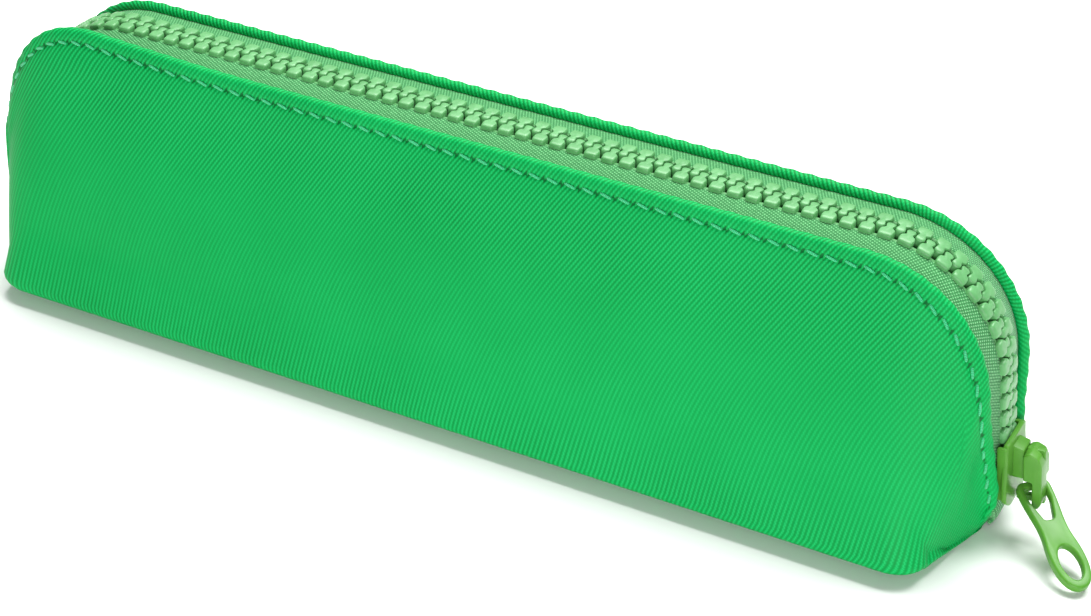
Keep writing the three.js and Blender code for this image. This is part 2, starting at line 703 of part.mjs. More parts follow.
// The slider's frame sits on the crest line of the right end, x up along the zip.
const endLine = crestFrame(2.5);
const upTheEnd = new THREE.Vector3(-endLine.normal.z, 0, endLine.normal.x);
const sliderPlace = endLine.origin.clone()
  .addScaledVector(upTheEnd, (SLIDER_HEIGHT - endLine.origin.z) / upTheEnd.z);
const slider = new THREE.Group();
slider.applyMatrix4(new THREE.Matrix4()
  .makeBasis(upTheEnd, new THREE.Vector3(0, 1, 0).negate(), endLine.normal)
  .setPosition(sliderPlace));
slider.add(named('slider_body', sliderBody(), 'metal'));
slider.add(named('slider_cap', sliderCap(), 'metal'));
slider.add(named('lock_pawl', lockPawl(), 'metal'));
pouch.add(slider);

// The pull hangs from its crossbar, turned to the front, with its tip on the surface below.
const pivot = sliderPlace.clone()
  .addScaledVector(upTheEnd, PIVOT_ALONG)
  .addScaledVector(endLine.normal, PIVOT_OUT);
const outDirection = new THREE.Vector3(Math.cos(PULL_YAW), -Math.sin(PULL_YAW), 0);
const crossbar = new THREE.Vector3(Math.sin(PULL_YAW), Math.cos(PULL_YAW), 0);
const pullDirection = outDirection.multiplyScalar(Math.sin(PULL_SWING))
  .add(new THREE.Vector3(0, 0, -Math.cos(PULL_SWING)));
const pullNormal = pullDirection.clone().cross(crossbar);
const pullMesh = named('pull_tab', pull(), 'metal');
pullMesh.applyMatrix4(new THREE.Matrix4()
  .makeBasis(pullDirection, crossbar, pullNormal)
  .setPosition(pivot));
pouch.add(pullMesh);

export default pouch;
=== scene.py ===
"""Looks of the zip pencil pouch around its CAD frame: cloth, zip, stitching, slider, camera and studio.

Lengths are millimetres until a mesh is made, and metres in Blender.
"""
import json
import math

import bmesh
import bpy
import numpy as np
from mathutils import Matrix, Vector, noise


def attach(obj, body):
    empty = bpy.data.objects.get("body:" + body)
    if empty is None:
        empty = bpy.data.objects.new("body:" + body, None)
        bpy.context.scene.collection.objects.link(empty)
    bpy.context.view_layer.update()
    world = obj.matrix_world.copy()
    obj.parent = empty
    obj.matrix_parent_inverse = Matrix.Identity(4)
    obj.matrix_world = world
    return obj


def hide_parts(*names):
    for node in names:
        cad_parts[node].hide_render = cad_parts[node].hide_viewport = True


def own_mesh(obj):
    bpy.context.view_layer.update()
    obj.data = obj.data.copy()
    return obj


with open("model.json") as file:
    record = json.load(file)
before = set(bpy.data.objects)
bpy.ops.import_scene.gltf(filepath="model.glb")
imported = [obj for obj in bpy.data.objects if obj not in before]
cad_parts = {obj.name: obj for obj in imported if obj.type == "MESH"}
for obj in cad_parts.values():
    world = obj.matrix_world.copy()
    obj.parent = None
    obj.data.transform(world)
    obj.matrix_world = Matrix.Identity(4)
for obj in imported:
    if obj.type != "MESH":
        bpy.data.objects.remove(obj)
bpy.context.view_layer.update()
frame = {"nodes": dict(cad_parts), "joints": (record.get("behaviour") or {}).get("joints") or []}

MM = 0.001
SIDES = (("front", -1), ("back", 1))

# ---- Driving dimensions of the pouch, as in the CAD model --------------------------------------
BASE_LENGTH, BASE_WIDTH, HEIGHT = 200.0, 57.0, 56.4
BASE_CORNER_RADIUS = 4.0
TOP_HALF_STRAIGHT, CORNER_RADIUS, END_LEAN = 81.4, 26.15, 0.099
END_STRAIGHT_BOTTOM, TUCK_RADIUS, TUCK_ANGLE = 12.0, 18.3, 0.58
END_REACH, END_HALF_GAP = 106.9, 3.5
SEAM_OFFSET = 2.0
ZIP_LEVEL = -1.6
ZIP_STRAIGHT_BOTTOM, ZIP_TUCK_RADIUS, ZIP_TUCK_ANGLE = 5.5, 8.0, 0.6
TOOTH_PITCH = 3.65
SLIDER_HEIGHT, SLIDER_HALF_LENGTH, SLIDER_TRAVEL = 13.0, 7.0, 14.0

# ---- Soft shapes ---------------------------------------------------------------------------------
# Half the gap between the two folded edges: along the top, down the ends and at the foot.
CREST_HALF_GAP, END_CREST_HALF_GAP, LAST_CREST_HALF_GAP = 9.9, 8.3, 4.0
ROLL_RADIUS = 1.2
CLOTH = 0.9
HEM_DEPTH = 8.0
WALL_CROWN = 1.3
# The soft edge round the base: how far it curls in and up, and how far it stands out.
EDGE_REACH, EDGE_RISE, EDGE_FLARE = 8.5, 4.2, 1.5
LEFT_CORNER_PUFF = 3.2
LINING_GAP, LINING_CLOTH = 1.5, 0.3
STITCH_DEPTH, STITCH_PITCH, STITCH_LENGTH = 3.0, 3.7, 2.5
POUCH_MIDDLE = (0.0, 0.0, 20.0)
# Panels end a little before the crest does, at this part of its four legs.
STATION_STEP, LAST_PART = 0.6, 3.9
RIB_PITCH, CROSS_PITCH = 0.9, 0.62

# The pull at rest: turned about the upright, and swung out from hanging.
PULL_YAW, PULL_SWING = math.radians(43), math.radians(68.5)


# ---- Path maths ------------------------------------------------------------------------------------
def walk(start, legs, part):
    """A point and heading after so many legs and part of one, each (length, clockwise turn)."""
    (x, y), angle = start, 0.0
    for i, (length, turn) in enumerate(legs):
        share = min(max(part - i, 0.0), 1.0)
        step, bend = length * share, turn * share
        if abs(bend) < 1e-9:
            x += step * math.cos(angle)
            y += step * math.sin(angle)
        else:
            radius = step / bend
            x += radius * (math.sin(angle) - math.sin(angle - bend))
            y += radius * (math.cos(angle - bend) - math.cos(angle))
        angle -= bend
    return x, y, angle


def smooth(low, high, t):
    u = np.clip((t - low) / (high - low), 0, 1)
    return u * u * (3 - 2 * u)


def lerp(a, b, t):
    return a + (b - a) * t


# The crest, the base's edge and the zip's middle line, each from mid-length round the right end in
# four legs that match: top, corner, end and tuck.
CORNER_TURN = math.pi / 2 - END_LEAN
corner_bottom = HEIGHT - CORNER_RADIUS * (1 - math.cos(CORNER_TURN))
CREST_LEGS = [
    (TOP_HALF_STRAIGHT, 0.0),
    (CORNER_RADIUS * CORNER_TURN, CORNER_TURN),
    ((corner_bottom - END_STRAIGHT_BOTTOM) / math.cos(END_LEAN), 0.0),
    (TUCK_RADIUS * TUCK_ANGLE, TUCK_ANGLE),
]
end_dx, end_dy = END_REACH - BASE_LENGTH / 2, BASE_WIDTH / 2 - END_HALF_GAP
plan_turn = math.atan2(end_dy, end_dx)
fillet = BASE_CORNER_RADIUS * math.tan(plan_turn / 2)
end_edge = math.hypot(end_dx, end_dy) - fillet
BASE_LEGS = [
    (BASE_LENGTH / 2 - fillet, 0.0),
    (BASE_CORNER_RADIUS * plan_turn, -plan_turn),
    (end_edge * 0.76, 0.0),
    (end_edge * 0.24, 0.0),
]
zip_radius = CORNER_RADIUS + ZIP_LEVEL
zip_corner_bottom = HEIGHT + ZIP_LEVEL - zip_radius * (1 - math.cos(CORNER_TURN))
ZIP_LEGS = [
    (TOP_HALF_STRAIGHT, 0.0),
    (zip_radius * CORNER_TURN, CORNER_TURN),
    ((zip_corner_bottom - ZIP_STRAIGHT_BOTTOM) / math.cos(END_LEAN), 0.0),
    (ZIP_TUCK_RADIUS * ZIP_TUCK_ANGLE, ZIP_TUCK_ANGLE),
]
ZIP_HALF = sum(length for length, _ in ZIP_LEGS[:3])


def unit(v):
    return v / np.maximum(np.linalg.norm(v, axis=-1, keepdims=True), 1e-12)


def dots(a, b):
    """Dot product of each pair of vectors."""
    return np.einsum("...j,...j->...", a, b)


def zip_frame(distance):
    """Origin and outward normal on the zip's middle plane, distance mm from mid-length."""
    rest, part = abs(distance), 0.0
    for i, (length, _) in enumerate(ZIP_LEGS):
        if rest <= length or i == 3:
            part = i + min(rest / length, 1.0)
            break
        rest -= length
    x, z, angle = walk((0.0, HEIGHT + ZIP_LEVEL), ZIP_LEGS, part)
    side = 1 if distance >= 0 else -1
    origin = np.array([side * x, 0.0, z])
    return origin, np.array([-side * math.sin(angle), 0.0, math.cos(angle)])


# ---- Meshes ----------------------------------------------------------------------------------------
def make_object(name, verts, faces, material, body="pouch", smooth_angle=None, layers=None):
    mesh = bpy.data.meshes.new(name)
    mesh.from_pydata([tuple(v) for v in np.asarray(verts) * MM], [], faces)
    for layer, values in (layers or {}).items():
        attribute = mesh.attributes.new(layer, "FLOAT_VECTOR", "POINT")
        attribute.data.foreach_set("vector", np.asarray(values, np.float32).ravel())
    mesh.polygons.foreach_set("use_smooth", [True] * len(mesh.polygons))
    bm = bmesh.new()
    bm.from_mesh(mesh)
    bmesh.ops.recalc_face_normals(bm, faces=bm.faces)
    bm.to_mesh(mesh)
    bm.free()
    if smooth_angle is not None:
        mesh.set_sharp_from_angle(angle=math.radians(smooth_angle))
    obj = bpy.data.objects.new(name, mesh)
    bpy.context.scene.collection.objects.link(obj)
    mesh.materials.append(material)
    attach(obj, body)
    return obj


def object_from(bm, name, material, smooth_angle):
    """An object with a bmesh's shape, smooth but for its edges sharper than an angle."""
    mesh = bpy.data.meshes.new(name)
    bm.to_mesh(mesh)
    bm.free()
    mesh.polygons.foreach_set("use_smooth", [True] * len(mesh.polygons))
    mesh.set_sharp_from_angle(angle=math.radians(smooth_angle))
    mesh.materials.append(material)
    obj = bpy.data.objects.new(name, mesh)
    bpy.context.scene.collection.objects.link(obj)
    return obj


def loft_faces(stations, ring):
    """Faces of a solid through stations of ring points each, capped at both ends."""
    faces = []
    for i in range(stations - 1):
        a, b = i * ring, (i + 1) * ring
        for k in range(ring):
            n = (k + 1) % ring
            faces.append((a + k, a + n, b + n, b + k))
    faces.append(tuple(range(ring)))
    last = (stations - 1) * ring
    faces.append(tuple(range(last + ring - 1, last - 1, -1)))
    return faces


def shifted(faces, start):
    """Faces whose vertices come after the first start ones."""
    return [tuple(v + start for v in face) for face in faces]


# ---- Node helpers ----------------------------------------------------------------------------------
class Nodes:
    """Short calls for building one material's node tree."""

    def __init__(self, name):
        self.material = bpy.data.materials.new(name)
        self.material.use_nodes = True
        self.tree = self.material.node_tree
        self.shader = self.tree.nodes["Principled BSDF"]

    def node(self, kind, **inputs):
        made = self.tree.nodes.new(kind)
        for key, value in inputs.items():
            self.put(made, key, value)
        return made

    def put(self, node, key, value):
        socket = node.inputs[int(key[1:])] if key[0] == "i" and key[1:].isdigit() else node.inputs[key]
        if isinstance(value, bpy.types.NodeSocket):
            self.tree.links.new(value, socket)
        else:
            socket.default_value = value

    def math(self, operation, a, b=0.0, c=0.0):
        made = self.tree.nodes.new("ShaderNodeMath")
        made.operation = operation
        for i, value in enumerate((a, b, c)):
            self.put(made, f"i{i}", value)
        return made.outputs[0]

    def attribute(self, name):
        made = self.tree.nodes.new("ShaderNodeAttribute")
        made.attribute_name = name
        split = self.node("ShaderNodeSeparateXYZ", Vector=made.outputs["Vector"])
        return split.outputs[0], split.outputs[1], split.outputs[2]

    def wave(self, phase):
        """0 to 1 to 0 once a cycle of phase."""
        turns = self.math("MULTIPLY", phase, 2 * math.pi)
        return self.math("MULTIPLY_ADD", self.math("COSINE", turns), 0.5, 0.5)

    def noise(self, scale, detail=2.0):
        place = self.node("ShaderNodeTexCoord").outputs["Object"]
        return self.node("ShaderNodeTexNoise", Scale=scale, Detail=detail, Vector=place).outputs["Fac"]

    def ramp(self, factor, *stops):
        made = self.node("ShaderNodeValToRGB", Fac=factor)
        ramp = made.color_ramp
        while len(ramp.elements) < len(stops):
            ramp.elements.new(0.5)
        for element, (position, colour) in zip(ramp.elements, stops):
            element.position = position
            element.color = (*colour, 1.0)
        return made.outputs["Color"]

    def bump(self, height, distance, strength=1.0):
        made = self.node("ShaderNodeBump", Height=height, Distance=distance, Strength=strength)
        self.tree.links.new(made.outputs["Normal"], self.shader.inputs["Normal"])

    def surface(self, **values):
        for key, value in values.items():
            self.put(self.shader, key.replace("_", " "), value)
        return self.material


def rgb(red, green, blue):
    """Linear colour from 0 to 255 display values."""
    def linear(c):
        return ((c / 255 + 0.055) / 1.055) ** 2.4 if c > 10 else c / 255 / 12.92

    return linear(red), linear(green), linear(blue)


# ---- Materials -------------------------------------------------------------------------------------
def twill_material():
    n = Nodes("nylon_twill")
    rib, cross, crisp = n.attribute("weave")
    # Painted shade: the cloth's tone is lowered at each needle hole of the stitching, carried in by the
    # attribute read here.
    needle_hole_shade, _, _ = n.attribute("wear_and_hole_shade")
    row = n.math("FLOOR", rib)
    stagger = n.math("MULTIPLY_ADD", row, 0.37, cross)
    ribs = n.wave(rib)
    floats = n.wave(stagger)
    height = n.math("MULTIPLY", ribs, n.math("MULTIPLY_ADD", floats, 0.45, 0.55))
    cloudy = n.noise(35.0, 3.0)
    worn = n.noise(7.0, 2.0)
    relief = n.math("MULTIPLY", n.math("SUBTRACT", height, 0.4), crisp)
    tone = n.math("ADD", n.math("ADD", relief, 0.5), n.math("MULTIPLY_ADD", cloudy, 0.34, -0.17))
    tone = n.math("ADD", tone, n.math("MULTIPLY_ADD", worn, 0.36, -0.18))
    tone = n.math("SUBTRACT", tone, n.math("MULTIPLY", needle_hole_shade, 1.3))
    colour = n.ramp(
        tone,
        (0.0, rgb(0, 98, 42)),
        (0.12, rgb(0, 138, 61)),
        (0.5, rgb(0, 160, 76)),
        (1.0, rgb(24, 186, 100)),
    )
    n.bump(relief, 0.0001, 0.6)
    return n.surface(
        **{
            "Base Color": colour,
            "Roughness": 0.55,
            "Specular IOR Level": 0.12,
        }
    )


def tape_material():
    n = Nodes("zip_tape_weave")
    along, across, _ = n.attribute("weave")
    first = n.wave(n.math("ADD", along, n.math("MULTIPLY", across, 0.5)))
    second = n.wave(n.math("SUBTRACT", n.math("MULTIPLY", across, 1.0), n.math("MULTIPLY", along, 0.5)))
    knots = n.math("MULTIPLY", first, second)
    specks = n.noise(2600.0, 1.0)
    tone = n.math("ADD", knots, n.math("MULTIPLY_ADD", specks, 0.7, -0.35))
    colour = n.ramp(
        tone,
        (0.0, rgb(34, 120, 58)),
        (0.4, rgb(70, 157, 88)),
        (0.9, rgb(130, 212, 142)),
    )
    n.bump(knots, 0.0002, 0.8)
    return n.surface(
        **{"Base Color": colour, "Roughness": 0.7, "Sheen Weight": 0.2, "Specular IOR Level": 0.3}
    )


def teeth_material():
    n = Nodes("moulded_teeth")
    mottle = n.noise(450.0, 2.0)
    colour = n.ramp(mottle, (0.3, rgb(86, 153, 91)), (0.7, rgb(102, 169, 107)))
    n.bump(n.noise(1800.0, 2.0), 0.00004, 0.4)
    return n.surface(
        **{
            "Base Color": colour,
            "Roughness": 0.42,
            "Subsurface Weight": 0.15,
            "Subsurface Radius": (0.001, 0.002, 0.001),
            "Subsurface Scale": 0.5,
        }
    )


def thread_material():
    n = Nodes("stitch_thread")
    along, _, _ = n.attribute("weave")
    twist = n.wave(along)
    colour = n.ramp(twist, (0.0, rgb(22, 164, 100)), (0.8, rgb(46, 196, 130)))
    n.bump(twist, 0.00008, 0.8)
    return n.surface(**{"Base Color": colour, "Roughness": 0.45, "Sheen Weight": 0.2})


def enamel_material():
    n = Nodes("enamelled_zinc")
    wear_and_hole_shade = n.noise(160.0, 4.0)
    colour = n.ramp(wear_and_hole_shade, (0.25, rgb(74, 136, 42)), (0.75, rgb(90, 152, 56)))
    rough = n.math("MULTIPLY_ADD", n.noise(900.0, 3.0), 0.16, 0.26)
    n.bump(n.noise(700.0, 3.0), 0.00005, 0.35)
    return n.surface(
        **{
            "Base Color": colour,
            "Roughness": rough,
            "Specular IOR Level": 0.25,
            "Coat Weight": 0.08,
            "Coat Roughness": 0.15,
        }
    )


def plain_weave_material(name, dark, light, scale):
    n = Nodes(name)
    coordinates = n.node("ShaderNodeTexCoord")
    split = n.node("ShaderNodeSeparateXYZ", Vector=coordinates.outputs["Object"])
    warp = n.wave(n.math("MULTIPLY", split.outputs[0], scale))
    weft = n.wave(n.math("MULTIPLY", split.outputs[1], scale))
    height = n.math("MULTIPLY", warp, weft)
    colour = n.ramp(height, (0.1, dark), (0.9, light))
    n.bump(height, 0.0001, 0.6)
    return n.surface(**{"Base Color": colour, "Roughness": 0.7, "Sheen Weight": 0.2})


def floor_material():
    n = Nodes("studio_floor")
    haze = n.noise(3.0, 2.0)
    colour = n.ramp(haze, (0.0, (0.95, 0.95, 0.95)), (1.0, (0.97, 0.97, 0.97)))
    return n.surface(**{"Base Color": colour, "Roughness": 0.9, "Specular IOR Level": 0.0})


TWILL = twill_material()
TAPE = tape_material()
TEETH = teeth_material()
THREAD = thread_material()
ENAMEL = enamel_material()
LINING = plain_weave_material("lining_weave", rgb(16, 128, 70), rgb(30, 168, 96), 2200.0)
BINDING = plain_weave_material("binding_weave", rgb(60, 158, 92), rgb(110, 206, 134), 1300.0)


# ---- Fabric panels ---------------------------------------------------------------------------------
# Rows down the wall start at these depths below the crest where there is room, then share what is left.
TOP_DEPTHS = [1.2, 1.6, 2.0, 2.3, 2.6, 2.8, 3.0, 3.2, 3.4, 3.8, 4.3, 5.0, 6.0, 7.4, 9.0]
WALL_ROWS, SLIDING_ROWS = 16, 5
# Where the wall is less high than these, its rows, its roll and its soft edge shrink with it.
FULL_ROOM_DROP, FULL_ROLL_DROP, FULL_EDGE_DROP = 14.0, 6.0, 22.0
# Between these depths the rows turn from square to the crest to the line down to the base.
TURN_START, TURN_END = 3.0, 9.0
GROOVE_DEPTH, PUFF_HEIGHT, PUFF_DEPTH, HEM_STEP = 0.34, 0.10, 1.7, 0.22
ROLL_STEPS, EDGE_STEPS = 9, 9
# The hem lies inside these rows of the wall, at so many times the roll's radius.
HEM_ROWS = ((2, 2.0), (6, 1.7), (10, 1.3), (13, 1.1))
BASE_SHARES = (0.06, 0.3, 0.65, 1.0)
FLAT_BASE = 22.0
SEAM_CLEARANCE = 0.02


def crest_half_gap(part):
    gap = lerp(CREST_HALF_GAP, END_CREST_HALF_GAP, smooth(2.0, 2.6, part))
    return lerp(gap, LAST_CREST_HALF_GAP, smooth(3.35, 3.9, part))


def crest_point(part):
    x, z, _ = walk((0.0, HEIGHT), CREST_LEGS, part)
    return x, -crest_half_gap(part), z


def base_point(part):
    x, y, _ = walk((0.0, -BASE_WIDTH / 2), BASE_LEGS, part)
    return x, y, 0.0


def half_stations():
    """Parts of the crest at even steps, with the base's matching parts eased over each leg's joint."""
    lengths = [length for length, _ in CREST_LEGS]
    total = sum(lengths[:3]) + lengths[3] * (LAST_PART - 3)
    distances = np.linspace(0, total, int(total / STATION_STEP) + 1)
    parts = [0, 1, 2, 3, 4]
    crest = np.interp(distances, np.concatenate([[0], np.cumsum(lengths)]), parts)
    base_edges = np.concatenate([[0], np.cumsum([length for length, _ in BASE_LEGS])])
    eased = np.interp(crest, parts, base_edges)
    for _ in range(3):
        before = 2 * eased[0] - eased[12:0:-1]
        after = 2 * eased[-1] - eased[-2:-14:-1]
        eased = np.convolve(np.concatenate([before, eased, after]), np.ones(25) / 25, "valid")
    return distances, crest, np.interp(eased, base_edges, parts)


def third_corner(p, q, from_p, from_q):
    """The point at two distances from p and q, on the right of the way from p to q."""
    gap = q - p
    length = np.linalg.norm(gap)
    along = (from_p**2 - from_q**2 + length**2) / (2 * length)
    aside = math.sqrt(max(from_p**2 - along**2, 0.0))
    e = gap / length
    return p + along * e + aside * np.array([e[1], -e[0]])


def flat_outline(crest, base):
    """Lays the strip between two curves out flat, ruling by ruling, keeping its lengths."""
    def distance(a, b):
        return np.linalg.norm(a - b)

    flat_c, flat_b = np.zeros((len(crest), 2)), np.zeros((len(base), 2))
    flat_c[0] = (0.0, distance(crest[0], base[0]))
    for i in range(1, len(crest)):
        c, b, last_c, last_b = crest[i], base[i], crest[i - 1], base[i - 1]
        flat_c[i] = third_corner(flat_b[i - 1], flat_c[i - 1], distance(c, last_b), distance(c, last_c))
        flat_b[i] = third_corner(flat_b[i - 1], flat_c[i], distance(b, last_b), distance(b, c))
    return flat_c, flat_b


def rib_phase(flat):
    """Twill ribs that lean to the right up the wall and stand nearly upright at its foot."""
    heights = np.linspace(-40, 75, 231)
    lean = 0.09 + 0.5 * smooth(2, 46, heights)
    shift = np.concatenate([[0], np.cumsum(lean[1:] * np.diff(heights))])
    x, h = flat[..., 0], flat[..., 1]
    sway = 0.5 * np.sin(x / 23.0 + 1.1) + 0.35 * np.sin(x / 9.5 + h / 21.0)
    sway = sway * (1 - smooth(4, 30, h))
    return (x - np.interp(h, heights, shift) + sway) / RIB_PITCH


def rib_crispness(height):
    """The ribs stand out most under the top edge, least half way down and again a little at the foot."""
    return 0.5 + 0.5 * smooth(30, 50, height) + 0.4 * (1 - smooth(4, 16, height))


def ripple(flat, side):
    """Slow undulation of the cloth, in mm, from smooth noise on its flat coordinates."""
    out = np.zeros(flat.shape[:-1])
    for index in np.ndindex(out.shape):
        x, h = flat[index]
        broad = noise.noise(Vector((x / 46.0, h / 34.0, 3.1 * side)))
        upright = noise.noise(Vector((x / 11.0, h / 60.0, 7.7 * side)))
        out[index] = 0.55 * broad + 0.35 * upright * (1 - smooth(3, 26, h))
    return out


def corner_puff(count):
    """The front cloth stands out past the zip round the left corner, up to LEFT_CORNER_PUFF."""
    distances, crest_parts, _ = half_stations()
    reach = np.sin(math.pi * np.clip((crest_parts - 0.55) / 1.75, 0, 1)) ** 2
    push = np.zeros((count, 3))
    left = slice(0, len(distances) - 1)
    push[left, 0] = -LEFT_CORNER_PUFF * 0.62 * reach[1:][::-1]
    push[left, 2] = LEFT_CORNER_PUFF * 0.78 * reach[1:][::-1]
    return push


def mirrored(half, flips):
    """A right half with its left half put before it, each coordinate times its flip."""
    return np.concatenate([half[1:][::-1] * np.array(flips), half])


def on_side(points, side):
    """Points of the front panel, or the same ones for the back."""
    return points * np.array([1.0, -1.0, 1.0]) if side > 0 else points


class Wall:
    """One panel's wall: stations along it, rows of points down it, and the same laid out flat."""

    def __init__(self, side):
        self.side = side
        distances, crest_parts, base_parts = half_stations()
        crest = np.array([crest_point(part) for part in crest_parts])
        base = np.array([base_point(part) for part in base_parts])
        flat_crest, flat_base = flat_outline(crest, base)
        self.along = mirrored(distances, -1)
        self.seam_x = mirrored(np.minimum(base[:, 0], base[-1, 0]), -1)
        self.crest = mirrored(crest, (-1, 1, 1))
        self.base = mirrored(base, (-1, 1, 1))
        self.flat_crest = mirrored(flat_crest, (-1, 1))
        self.flat_base = mirrored(flat_base, (-1, 1))
        if side < 0:
            self.crest = self.crest + corner_puff(len(self.crest))
        self.aim()
        self.lay_rows()
        self.lift()

    def aim(self):
        """At each station: the way out of the wall, the way down it, and how far down the base is."""
        self.ruling = self.base - self.crest
        self.length = np.linalg.norm(self.ruling, axis=1)
        tangent = unit(np.gradient(self.crest, axis=0))
        self.outward = -unit(np.cross(tangent, self.ruling))
        down = -unit(np.cross(self.outward, tangent))
        self.down = down * np.sign(dots(down, self.ruling))[:, None]
        self.drop = dots(self.ruling, self.down)
        self.room = np.minimum(1.0, self.drop / FULL_ROOM_DROP)
        flat_tangent = unit(np.gradient(self.flat_crest, axis=0))
        flat_down = np.stack([flat_tangent[:, 1], -flat_tangent[:, 0]], 1)
        self.flat_ruling = self.flat_base - self.flat_crest
        self.flat_down = flat_down * np.sign(dots(flat_down, self.flat_ruling))[:, None]

    def skin(self, depth):
        """Points at a depth below the crest, one a station, in space and laid out flat."""
        turn = smooth(TURN_START, TURN_END, depth / np.maximum(self.room, 1e-3))[:, None]
        drop = np.maximum(self.drop, 1e-6)[:, None]
        point = self.crest + depth[:, None] * lerp(self.down, self.ruling / drop, turn)
        flat = self.flat_crest + depth[:, None] * lerp(self.flat_down, self.flat_ruling / drop, turn)
        return point, flat

    def lay_rows(self):
        """Rows from just under the crest to the base, close together round the stitching."""
        start = TOP_DEPTHS[-1] * self.room
        rows = [depth * self.room for depth in TOP_DEPTHS]
        rows += [start + (self.drop - start) * share for share in np.linspace(0, 1, WALL_ROWS + 1)[1:]]
        skins = [self.skin(depth) for depth in rows]
        self.surface = np.stack([point for point, _ in skins], 1)
        self.flat = np.stack([flat for _, flat in skins], 1)
        self.depths = np.stack(rows, 1)
        self.scaled = self.depths / np.maximum(self.room, 1e-3)[:, None]
        normals = -unit(np.cross(np.gradient(self.surface, axis=0), np.gradient(self.surface, axis=1)))
        self.normals = normals * np.sign(dots(normals, self.outward[:, None]))[..., None]

    def lift(self):
        """Raises the wall by its crown, the stitched groove, the puff over it, the hem and the ripples."""
        share = self.depths / np.maximum(self.drop, 1e-6)[:, None]
        fullness = np.minimum(1, self.length / HEIGHT)[:, None]
        self.holes = np.cos(2 * np.pi * self.along / STITCH_PITCH)[:, None]
        crown = WALL_CROWN * np.sin(np.pi * np.clip(share, 0, 1)) * fullness**2
        groove = -GROOVE_DEPTH * self.near(STITCH_DEPTH, 0.5) * (0.7 - 0.3 * self.holes)
        puff = PUFF_HEIGHT * self.near(PUFF_DEPTH, 0.6) * (1 + 0.7 * self.holes)
        hem_step = HEM_STEP * (1 - smooth(7.0, 10.0, self.scaled))
        ease = smooth(2, 9, self.scaled) * smooth(0, 0.12, 1 - share)
        waves = ripple(self.flat, self.side) * ease * fullness
        rise = crown + (groove + puff + hem_step) * self.room[:, None] + waves
        self.outer = self.surface + self.normals * rise[..., None]

    def near(self, depth, width):
        """1 at a depth below the crest, falling to 0 over a width on either side."""
        return np.exp(-(((self.scaled - depth) / width) ** 2))

    def meet_edge(self, edge, flat_edge):
        """Slides the lowest rows up so that they end where the rounded edge of the base begins."""
        rows = self.outer.shape[1]
        tail = rows - SLIDING_ROWS
        for k in range(tail, rows):
            share = (k - tail + 1) / (SLIDING_ROWS + 0.6)
            self.outer[:, k] = lerp(self.outer[:, tail - 1], edge, share)
            self.flat[:, k] = lerp(self.flat[:, tail - 1], flat_edge, share)

    def below_hem(self):
        """Numbers of the rows below the hem, from the lowest up."""
        depths = self.scaled.mean(axis=0)
        return [k for k in range(len(depths) - 1, 0, -1) if depths[k] > HEM_DEPTH + 1]

    def inside(self, k, depth):
        return self.outer[:, k] - self.normals[:, k] * depth


def fold(wall):
    """Rows over the top edge and down the hem inside it, in space and laid out flat."""
    out = wall.normals[:, 0]
    radius = (ROLL_RADIUS * np.minimum(1, wall.drop / FULL_ROLL_DROP))[:, None]
    centre = wall.outer[:, 0] - out * radius
    squeeze = 1 + 0.06 * wall.holes
    rows, flats = [], []
    for angle in np.linspace(0, math.pi, ROLL_STEPS + 1)[1:]:
        rows.append(centre + radius * squeeze * (math.cos(angle) * out - math.sin(angle) * wall.down))
        flats.append(wall.flat[:, 0] - wall.flat_down * radius * angle)
    rolled = flats[-1]
    for k, inset in HEM_ROWS:
        thick = np.maximum(radius * inset, 1.9 * CLOTH * wall.room[:, None])
        rows.append(wall.inside(k, thick))
        flats.append(rolled - wall.flat_down * wall.depths[:, k:k + 1])
    rows.append(wall.inside(HEM_ROWS[-1][0], CLOTH * 1.1 * wall.room[:, None]))
    flats.append(flats[-1])
    return rows, flats


def base_edge(wall):
    """The soft edge between wall and base: rows outside, rows inside, and laid out flat."""
    level_out = unit(wall.normals[:, -1] * np.array([1.0, 1.0, 0.0]))
    up = -unit(wall.ruling)
    size = np.minimum(1.0, wall.drop / FULL_EDGE_DROP)[:, None]
    reach, rise = EDGE_REACH * size, EDGE_RISE * size
    lean = -dots(up, level_out)[:, None] / up[:, 2:3]
    tilt = np.arctan(np.clip(lean, 0, 1.5) * rise / reach)
    start_up = rise * (1 + np.sin(tilt))
    begin = wall.base + up * start_up / up[:, 2:3] + level_out * EDGE_FLARE * size
    centre = begin - level_out * reach * np.cos(tilt)
    centre[:, 2:3] = rise
    flat_fall = wall.flat_ruling / wall.length[:, None]
    edge, inner, flats = [], [], []
    for share in np.linspace(0, 1, EDGE_STEPS):
        turn = lerp(-tilt, math.pi / 2, share)
        point = centre + level_out * reach * np.cos(turn)
        point[:, 2:3] -= rise * np.sin(turn)
        facing = level_out * np.cos(turn) / reach
        facing[:, 2:3] = -np.sin(turn) / rise
        edge.append(point)
        inner.append(point - unit(facing) * CLOTH * size)
        flats.append(wall.flat_base + flat_fall * (share * (reach + 0.5 * rise) - start_up))
    return edge, inner, flats


def base_rows(wall, edge, flat_edge):
    """Rows under the pouch from the soft edge to the panel's seam."""
    seam_y = (SEAM_OFFSET if wall.side < 0 else -SEAM_OFFSET) - SEAM_CLEARANCE
    count = len(edge)
    seam = np.stack([wall.seam_x, np.full(count, seam_y), np.zeros(count)], 1)
    rows = [lerp(edge, seam, share) for share in BASE_SHARES]
    flats = [flat_edge + np.array([0.0, -1.0]) * (share * FLAT_BASE) for share in BASE_SHARES]
    return rows, flats


def raised(rows, height):
    return [row + np.array([0.0, 0.0, height]) for row in rows]


def weave_layer(flats):
    """Rib phase, cross-thread phase and crispness at each point of a panel."""
    cross = (flats[..., 1] + 0.25 * flats[..., 0]) / CROSS_PITCH
    return np.stack([rib_phase(flats), cross, rib_crispness(flats[..., 1])], -1)


